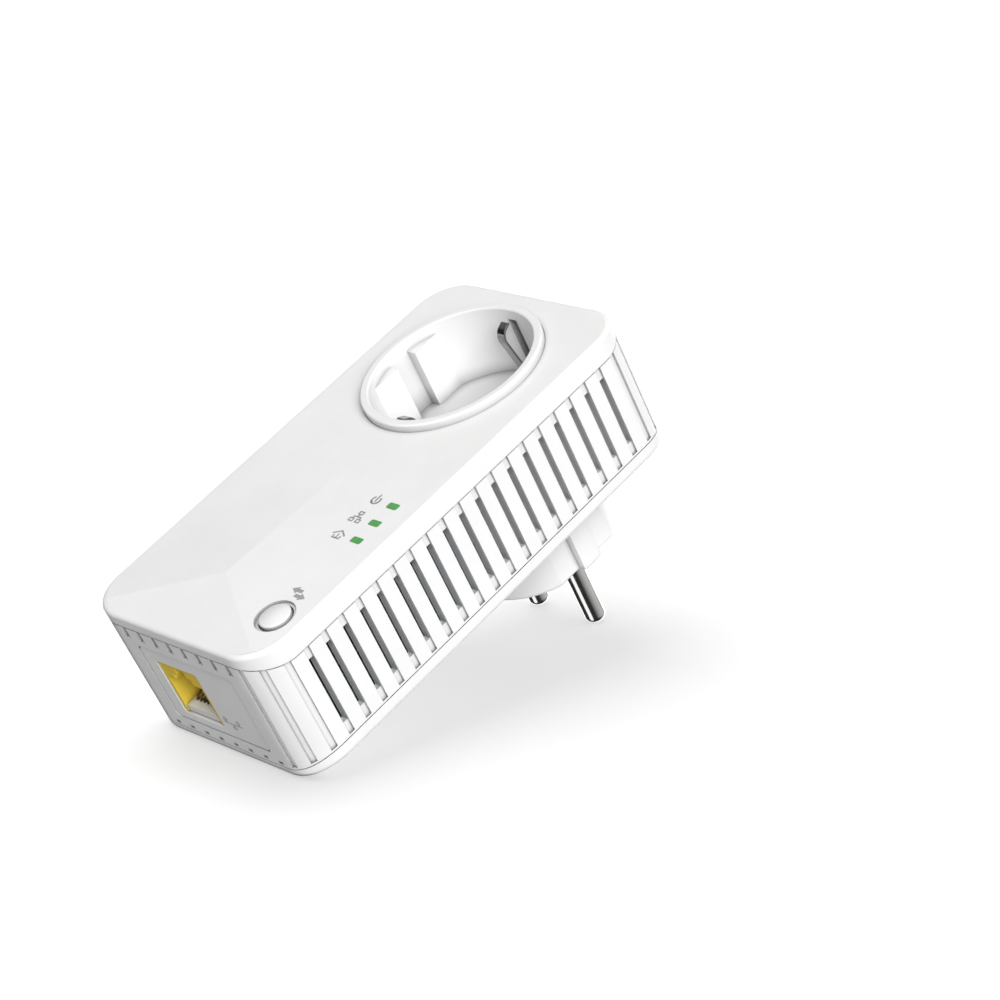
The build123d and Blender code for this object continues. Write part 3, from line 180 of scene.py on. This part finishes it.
def metal(name, color, rough=0.25, stretch=(1, 1, 1), scratch=0.0015, edge=0.08, tarnish=0.9):
    """Plated or drawn metal: directional micro-scratches, faint tarnish, softened edges."""
    s = Shader(name)
    stain = s.noise(0.25, 5.0, 0.6)
    lines = s.noise(6.0, 5.0, 0.65, s.stretch(*stretch))
    color_out = s.mix(s.remap(stain, 0, 1), tone(color, tarnish), color)
    normal = s.bump(lines, scratch, s.soft_edges(edge))
    gloss = s.math("ADD", s.remap(stain, rough - 0.04, rough + 0.06), s.remap(lines, -0.04, 0.05))
    s.set(Base_Color=color_out, Roughness=gloss, Metallic=1.0, Normal=normal)
    return s.mat


def glow(name, color, strength):
    """A green light guide: a frosted lens whose tone varies a little at random."""
    s = Shader(name)
    cloud = s.noise(0.8, 3.0)
    body = s.mix(s.remap(cloud, 0, 1), tone(color, 0.94), tone(color, 1.04))
    s.set(
        Base_Color=body, Roughness=0.32, Emission_Color=body, Emission_Strength=strength,
        Normal=s.bump(s.noise(4.0), 0.003, s.soft_edges(0.12)),
    )
    s.bsdf.inputs["Coat Weight"].default_value = 0.4
    return s.mat


def board(name):
    """Solder mask over copper: pale tracks, vias and a slight weave."""
    s = Shader(name)
    brick = s.nodes.new("ShaderNodeTexBrick")
    brick.inputs["Scale"].default_value = 1.0
    brick.inputs["Mortar Size"].default_value = 0.12
    brick.inputs["Mortar Smooth"].default_value = 0.2
    brick.inputs["Brick Width"].default_value = 3.4
    brick.inputs["Row Height"].default_value = 1.27
    swap = s.nodes.new("ShaderNodeCombineXYZ")
    s.link(s.axis("X"), swap.inputs["X"])
    s.link(s.axis("Z"), swap.inputs["Y"])
    s.link(swap.outputs[0], brick.inputs["Vector"])
    vias = s.nodes.new("ShaderNodeTexVoronoi")
    vias.inputs["Scale"].default_value = 0.32
    s.link(s.mm, vias.inputs["Vector"])
    hole = s.remap(vias.outputs["Distance"], 1, 0, 0.10, 0.13)
    weave = s.noise(2.4, 4.0)
    mask = s.mix(s.remap(weave, 0, 1), (0.012, 0.10, 0.045), (0.02, 0.14, 0.06))
    tracks = s.mix(brick.outputs["Fac"], mask, (0.05, 0.24, 0.10))
    final = s.mix(hole, tracks, (0.62, 0.58, 0.42))
    s.set(Base_Color=final, Roughness=0.34, Normal=s.bump(brick.outputs["Fac"], 0.03))
    return s.mat


def wound(name, color, line, pitch, axis="Y", rough=0.4):
    """Wound tape or wire: bands along one axis with a line of another colour between turns; on the tape that line
    is painted shade, on the green wire it is a yellow stripe.
    """
    s = Shader(name)
    turn = s.math("FRACT", s.math("MULTIPLY", s.axis(axis), 1 / pitch))
    ridge = s.math("ABSOLUTE", s.math("SUBTRACT", turn, 0.5))
    cloud = s.noise(0.5, 4.0)
    body = s.mix(s.remap(cloud, 0, 1), tone(color, 0.9), tone(color, 1.05))
    s.set(
        Base_Color=s.mix(s.remap(ridge, 0, 1, 0.40, 0.49), body, line),
        Roughness=rough, Normal=s.bump(ridge, -0.12 * pitch),
    )
    return s.mat


def chip(name, color):
    """Moulded epoxy package with a frosted face."""
    s = Shader(name)
    speck = s.noise(5.0, 6.0, 0.7)
    s.set(
        Base_Color=s.mix(s.remap(speck, 0, 1), tone(color, 0.8), tone(color, 1.5)),
        Roughness=s.remap(speck, 0.45, 0.65), Normal=s.bump(speck, 0.01, s.soft_edges(0.08)),
    )
    return s.mat


WHITE = (0.87, 0.87, 0.868)
materials = {
    "cover_white": plastic("cover_white", WHITE, rough=0.46, grain=0.004, edge=0.10, sub=0.04),
    # a copy of the cover's white whose painted shade reaches 5.5 mm, darkening the socket well's walls and corners
    # further
    "well_white_shaded": plastic("well_white_shaded", WHITE, rough=0.46, grain=0.004, edge=0.10, reach=5.5),
    "band_white": plastic("band_white", tone(WHITE, 0.985), rough=0.5, grain=0.006, edge=0.12),
    # its painted shade reaches 4 mm into gaps and inside corners
    "insert_white": plastic("insert_white", (0.66, 0.662, 0.665), rough=0.5, grain=0.005, reach=4.0),
    "carrier_white": plastic("carrier_white", (0.74, 0.74, 0.70), rough=0.55, grain=0.01, sub=0.1),
    "label_silver": plastic("label_silver", (0.74, 0.75, 0.76), rough=0.35, grain=0.002, edge=0.03),
    "jack_yellow": plastic("jack_yellow", (0.90, 0.66, 0.07), rough=0.4, grain=0.004),
    "tray_white": plastic("tray_white", (0.76, 0.76, 0.73), rough=0.5, grain=0.008),
    "gold_contact": metal("gold_contact", (0.30, 0.22, 0.10), rough=0.24, stretch=(4, 0.3, 0.3)),
    "button_white": plastic("button_white", (0.85, 0.85, 0.855), rough=0.36, grain=0.003, sheen=0.25),
    "light_green": glow("light_green", (0.07, 0.36, 0.07), 0.02),
    "led_white": glow("led_white", (0.75, 0.80, 0.60), 0.1),
    "shutter_dark": plastic("shutter_dark", (0.045, 0.045, 0.048), rough=0.42, grain=0.01),
    # a darker copy of the nickel for the earth clips: the darker base paints the shade they sit in inside the
    # socket well
    "clip_nickel_shaded": metal("clip_nickel_shaded", (0.36, 0.355, 0.35), rough=0.18, stretch=(3, 0.3, 3)),
    "spring_steel": metal("spring_steel", (0.55, 0.55, 0.56), rough=0.3),
    "nickel": metal("nickel", (0.72, 0.71, 0.70), rough=0.14, stretch=(3, 0.3, 3), scratch=0.0006),
    "brass": metal("brass", (0.78, 0.58, 0.28), rough=0.28, stretch=(0.4, 3, 0.4), tarnish=0.8),
    "plug_white": plastic("plug_white", tone(WHITE, 0.98), rough=0.42, grain=0.004, edge=0.2),
    "board_green": board("board_green"),
    "ferrite": chip("ferrite", (0.10, 0.10, 0.105)),
    # the tape's darker line between turns is painted shade
    "tape_yellow": wound("tape_yellow", (0.72, 0.55, 0.08), (0.35, 0.25, 0.03), 2.1),
    "can_dark": plastic("can_dark", (0.03, 0.03, 0.06), rough=0.3, grain=0.004, sheen=0.5),
    "capacitor_box": plastic("capacitor_box", (0.62, 0.50, 0.08), rough=0.4, grain=0.006),
    "disc_blue": plastic("disc_blue", (0.04, 0.14, 0.42), rough=0.3, grain=0.03, grain_scale=1.2, sheen=0.4),
    "fuse_black": plastic("fuse_black", (0.03, 0.03, 0.033), rough=0.45, grain=0.008),
    "chip_black": chip("chip_black", (0.035, 0.035, 0.04)),
    "heatsink_alu": metal("heatsink_alu", (0.70, 0.71, 0.72), rough=0.35, stretch=(3, 3, 0.2), scratch=0.004),
    "can_metal": metal("can_metal", (0.68, 0.68, 0.68), rough=0.3),
    "screw_steel": metal("screw_steel", (0.52, 0.52, 0.54), rough=0.3, tarnish=0.75),
    "wire_brown": plastic("wire_brown", (0.10, 0.035, 0.015), rough=0.4, grain=0.004),
    "wire_blue": plastic("wire_blue", (0.02, 0.06, 0.35), rough=0.4, grain=0.004),
    "wire_green": wound("wire_green", (0.10, 0.32, 0.03), (0.70, 0.60, 0.04), 2.4, "Z"),
}

NODE_MATERIAL = {
    # the earth clips take the darker nickel, which paints shade on them
    "earth_clip_upper": "clip_nickel_shaded",
    "earth_clip_lower": "clip_nickel_shaded",
    # the socket well takes the copy of the cover's white with wider painted shade
    "socket_well": "well_white_shaded",
}
for entry in frame["record"]["subparts"]:
    node = frame["nodes"][entry["node"]]
    node.data.materials.clear()
    node.data.materials.append(materials[NODE_MATERIAL.get(entry["node"], entry["material_slot"])])


# ---------------------------------------------------------------- printed marks
def surface_tree(node, direction):
    """A ray caster on a CAD node, to lay marks on its real surface."""
    mesh = frame["nodes"][node].data
    tree = BVHTree.FromPolygons([v.co for v in mesh.vertices], [p.vertices for p in mesh.polygons])
    toward = Vector(direction)

    def drop(point):
        hit, normal, _, _ = tree.ray_cast(point - toward * 0.05, toward)
        return hit - toward * 0.02 * MM

    return drop


def arc(cx, cy, r, start, end, steps=20):
    return [
        (
            cx + r * math.cos(math.radians(start + (end - start) * i / steps)),
            cy + r * math.sin(math.radians(start + (end - start) * i / steps)),
        )
        for i in range(steps + 1)
    ]


def stroke(points, width, closed=False):
    """Quads along a line, with round joints, as polygons in a plane."""
    shapes = []
    ring = points + points[:1] if closed else points
    for (ax, ay), (bx, by) in zip(ring, ring[1:]):
        length = math.hypot(bx - ax, by - ay)
        nx, ny = -(by - ay) / length * width / 2, (bx - ax) / length * width / 2
        shapes.append([(ax + nx, ay + ny), (ax - nx, ay - ny), (bx - nx, by - ny), (bx + nx, by + ny)])
    for x, y in ring:
        shapes.append([p for p in arc(x, y, width / 2, 0, 360, 10)][:-1])
    return shapes


def box_outline(cx, cy, w, h):
    return [(cx - w / 2, cy - h / 2), (cx + w / 2, cy - h / 2), (cx + w / 2, cy + h / 2), (cx - w / 2, cy + h / 2)]


def print_mark(name, shapes, place, drop, body, material):
    """A thin flat mark, printed ink or painted shade: each corner of each shape is laid on the surface below it.
    """
    verts, faces = [], []
    for shape in shapes:
        first = len(verts)
        verts += [drop(place(x, y)) for x, y in shape]
        faces.append(list(range(first, first + len(shape))))
    mesh = bpy.data.meshes.new(name)
    mesh.from_pydata(verts, [], faces)
    mesh.materials.append(material)
    mark = bpy.data.objects.new(name, mesh)
    bpy.context.scene.collection.objects.link(mark)
    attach(mark, body)
    return mark


def ink(name, color, rough=0.5):
    """Pad-printed ink, also used as a grey that paints the shade of moulded marks: slightly uneven coverage."""
    s = Shader(name)
    cover = s.noise(2.5, 4.0)
    s.set(
        Base_Color=s.mix(s.remap(cover, 0, 1), tone(color, 0.92), tone(color, 1.08)),
        Roughness=rough, Normal=s.bump(cover, 0.004),
    )
    return s.mat


ink_grey = ink("ink_grey", (0.34, 0.34, 0.345))
# a grey that paints the shade of the moulded marks on the socket floor
moulded_mark_shade = ink("moulded_mark_shade", (0.40, 0.40, 0.405))
led_lo, led_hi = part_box("light_guide")
button_lo, button_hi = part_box("pair_button")
button_x = (button_lo.x + button_hi.x) / 2 / MM
button_z = (button_lo.z + button_hi.z) / 2 / MM
led_mid_z = (led_lo.z + led_hi.z) / 2 / MM
led_step = 5.6
icon_x = 16.55
bold, thin = 0.48, 0.36

on_face = surface_tree("front_cover", (0, 1, 0))


def face_place(x, z):
    return Vector((x * MM, 0, z * MM))


def shifted(points, x, z):
    return [(px + x, pz + z) for px, pz in points]


power_z = led_mid_z + led_step + 0.3
power = stroke(shifted(arc(0, 0, 1.12, 141, 399), icon_x, power_z), bold)
power += stroke(shifted([(0, -0.34), (0, 1.6)], icon_x, power_z), bold)

tree = stroke(box_outline(icon_x, led_mid_z + 1.42, 1.15, 0.8), thin, True)
tree += stroke(shifted([(0, 0.9), (0, 0.22)], icon_x, led_mid_z), thin)
tree += stroke(shifted([(-1.02, -0.2), (-1.02, 0.22), (1.02, 0.22), (1.02, -0.2)], icon_x, led_mid_z), thin)
for side in (-1, 1):
    tree += stroke(box_outline(icon_x + side * 1.02, led_mid_z - 0.86, 1.1, 0.86), thin, True)

house_z = led_mid_z - led_step
house = stroke(shifted([(-1.7, 0.0), (0, 1.15), (1.7, 0.0)], icon_x, house_z), bold * 0.85)
house += stroke(shifted([(-1.0, -0.5), (-1.0, -1.15), (1.0, -1.15), (1.0, -0.5)], icon_x, house_z), thin)
house += stroke(shifted([(0, 0.1), (0, -1.15)], icon_x, house_z), thin)

arrow_z = button_z + 7.1
arrows = []
for side in (-1, 1):
    base = (button_x, arrow_z - side * 0.70)
    head = [(side * 2.65, 0), (side * 0.92, 1.04), (side * 0.92, -1.04)]
    tail = [(side * 0.95, 0.48), (side * -0.57, 0.48), (side * -0.57, -0.48), (side * 0.95, -0.48)]
    arrows += [shifted(head, *base), shifted(tail, *base)]
print_mark("mark_power", power, face_place, on_face, "housing", ink_grey)
print_mark("mark_network", tree, face_place, on_face, "housing", ink_grey)
print_mark("mark_house", house, face_place, on_face, "housing", ink_grey)
print_mark("mark_pairing", arrows, face_place, on_face, "housing", ink_grey)

# marks moulded on the socket floor: protective earth in a circle, and an alternating current sign, drawn flat in a
# grey that paints the shade of their relief
on_floor = surface_tree("socket_floor", (0, 1, 0))
earth_x, earth_z = 7.5, 9.8
earth = stroke(arc(earth_x, earth_z, 2.15, 0, 360, 36), 0.24)
earth += stroke([(earth_x, earth_z + 1.6), (earth_x, earth_z - 0.1)], 0.24)
for drop_z, half in ((-0.1, 1.45), (-0.7, 1.0), (-1.3, 0.5)):
    earth += stroke([(earth_x - half, earth_z + drop_z), (earth_x + half, earth_z + drop_z)], 0.24)
wave = [(-5.0 + 0.28 * i, -6.6 + 0.5 * math.sin(i * math.pi / 4)) for i in range(-4, 5)]
sign = stroke(wave, 0.24) + stroke([(-11.9, -6.6), (-7.4, -6.6)], 0.24)
print_mark("mark_earth", earth, face_place, on_floor, "housing", moulded_mark_shade)
print_mark("mark_current", sign, face_place, on_floor, "housing", moulded_mark_shade)

# a network glyph beside the port
on_panel = surface_tree("port_panel", (0, 0, 1))


def port_place(x, depth):
    return Vector((x * MM, -depth * MM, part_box("port_panel")[0].z))


glyph_x, glyph_d = 6.2, 8.2
glyph = stroke([(glyph_x - 3.2, glyph_d), (glyph_x + 3.2, glyph_d)], 0.2)
for shift, side in ((-2.2, 1), (0.0, -1), (2.2, 1)):
    glyph += stroke([(glyph_x + shift, glyph_d), (glyph_x + shift, glyph_d + side * 0.6)], 0.2)
    glyph += stroke(box_outline(glyph_x + shift, glyph_d + side * 1.0, 0.9, 0.7), 0.2, True)
print_mark("mark_port", glyph, port_place, on_panel, "housing", ink_grey)


# ---------------------------------------------------------------- floor
# the adapter lies on the tips of its pins and the bottom edge of its rear cover
rear_lo, rear_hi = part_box("rear_cover")
pin_lo, pin_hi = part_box("plug_pin_left")
UP = Vector((0, rear_lo.z - pin_lo.z, pin_hi.y - rear_hi.y)).normalized()
floor_height = min(v.co.dot(UP) for v in frame["nodes"]["rear_cover"].data.vertices)

floor_mesh = bpy.data.meshes.new("stage_floor")
across = Vector((1, 0, 0))
along = across.cross(UP)
reach = 4.0
floor_mesh.from_pydata(
    [
        UP * floor_height + across * side * reach + along * end * reach
        for side, end in ((-1, -1), (1, -1), (1, 1), (-1, 1))
    ],
    [],
    [(3, 2, 1, 0)],
)
floor = bpy.data.objects.new("stage_floor", floor_mesh)
bpy.context.scene.collection.objects.link(floor)
if floor_mesh.polygons[0].normal.dot(UP) < 0:
    floor_mesh.flip_normals()

stage = Shader("stage_paper")
stage.set(
    Base_Color=stage.mix(stage.remap(stage.noise(0.002), 0, 1), (0.55, 0.55, 0.55), (0.56, 0.56, 0.56)),
    Roughness=0.9,
    Emission_Color=(1, 1, 1),
    Emission_Strength=0.52,
)
stage.bsdf.inputs["Specular IOR Level"].default_value = 0.0
clear = stage.nodes.new("ShaderNodeBsdfTransparent")
facing = stage.nodes.new("ShaderNodeNewGeometry")
path = stage.nodes.new("ShaderNodeLightPath")
above = stage.math("SUBTRACT", 1.0, facing.outputs["Backfacing"])
blend = stage.nodes.new("ShaderNodeMixShader")
stage.link(stage.math("MULTIPLY", path.outputs["Is Camera Ray"], above), blend.inputs[0])
stage.link(clear.outputs[0], blend.inputs[1])
stage.link(stage.bsdf.outputs[0], blend.inputs[2])
stage.link(blend.outputs[0], stage.nodes["Material Output"].inputs["Surface"])
floor_mesh.materials.append(stage.mat)

# ---------------------------------------------------------------- world and lights
world = bpy.data.worlds.new("studio")
bpy.context.scene.world = world
world.use_nodes = True
world_nodes, world_links = world.node_tree.nodes, world.node_tree.links
direction = world_nodes.new("ShaderNodeTexCoord")
seen = world_nodes.new("ShaderNodeLightPath")


def sky_ramp(toward, start, end, low, high):
    """White light whose strength climbs from low to high along a direction."""
    height = world_nodes.new("ShaderNodeVectorMath")
    height.operation = "DOT_PRODUCT"
    height.inputs[1].default_value = Vector(toward).normalized()
    world_links.new(direction.outputs["Generated"], height.inputs[0])
    ramp = world_nodes.new("ShaderNodeMapRange")
    for name, value in (("From Min", start), ("From Max", end), ("To Min", low), ("To Max", high)):
        ramp.inputs[name].default_value = value
    world_links.new(height.outputs["Value"], ramp.inputs["Value"])
    sky = world_nodes.new("ShaderNodeBackground")
    world_links.new(ramp.outputs["Result"], sky.inputs["Strength"])
    return sky.outputs[0]


def both(a, b):
    node = world_nodes.new("ShaderNodeAddShader")
    world_links.new(a, node.inputs[0])
    world_links.new(b, node.inputs[1])
    return node.outputs[0]


def pick(factor, a, b):
    node = world_nodes.new("ShaderNodeMixShader")
    world_links.new(factor, node.inputs[0])
    world_links.new(a, node.inputs[1])
    world_links.new(b, node.inputs[2])
    return node.outputs[0]


soft_fill = sky_ramp(UP, -1, 1, 0.36, 0.58)
window = sky_ramp((0.5, -0.55, 0.65), -0.25, 0.55, 0.04, 1.05)
strip_light = sky_ramp((-0.06, 0.54, -0.84), 0.955, 0.968, 0.0, 1.8)
reflected = both(window, strip_light)
plain_white = sky_ramp(UP, -1, 1, 1.0, 1.0)
lit = pick(seen.outputs["Is Glossy Ray"], soft_fill, reflected)
shown = pick(seen.outputs["Is Camera Ray"], lit, plain_white)
world_links.new(shown, world_nodes["World Output"].inputs["Surface"])


def soft_sun(name, toward, strength, spread, floor_link):
    """A distant soft box, with soft shadows, that lights either the floor or all but the floor."""
    data = bpy.data.lights.new(name, "SUN")
    data.energy = strength
    data.angle = math.radians(spread)
    lamp = bpy.data.objects.new(name, data)
    bpy.context.scene.collection.objects.link(lamp)
    lamp.rotation_mode = "QUATERNION"
    lamp.rotation_quaternion = Vector(toward).normalized().to_track_quat("Z", "Y")
    receivers = bpy.data.collections.new(f"{name}_receivers")
    receivers.objects.link(floor)
    receivers.collection_objects[0].light_linking.link_state = floor_link
    lamp.light_linking.receiver_collection = receivers


soft_sun("key_light", (0.80, -0.58, -0.14), 3.15, 40, "EXCLUDE")
soft_sun("back_light", (-0.55, 0.62, 0.56), 2.2, 60, "EXCLUDE")
soft_sun("floor_light", UP + Vector((-0.35, 0, 0)), 1.85, 50, "INCLUDE")

# ---------------------------------------------------------------- camera
cam_data = bpy.data.cameras.new("camera")
cam = bpy.data.objects.new("camera", cam_data)
bpy.context.scene.collection.objects.link(cam)
cam_data.sensor_width = 36.0
cam_data.lens = 105.2
cam_data.clip_start, cam_data.clip_end = 0.01, 20
viewpoint = Vector((472.5, -348.1, -290.1)) * MM
target = Vector((3.1, 0.1, -5.7)) * MM
roll = math.radians(46.07)
cam.location = viewpoint
cam.rotation_mode = "QUATERNION"
cam.rotation_quaternion = (target - viewpoint).to_track_quat("-Z", "Y") @ Quaternion((0, 0, 1), roll)
bpy.context.scene.camera = cam
bpy.context.scene.view_settings.view_transform = "Standard"
bpy.context.scene.view_settings.look = "None"
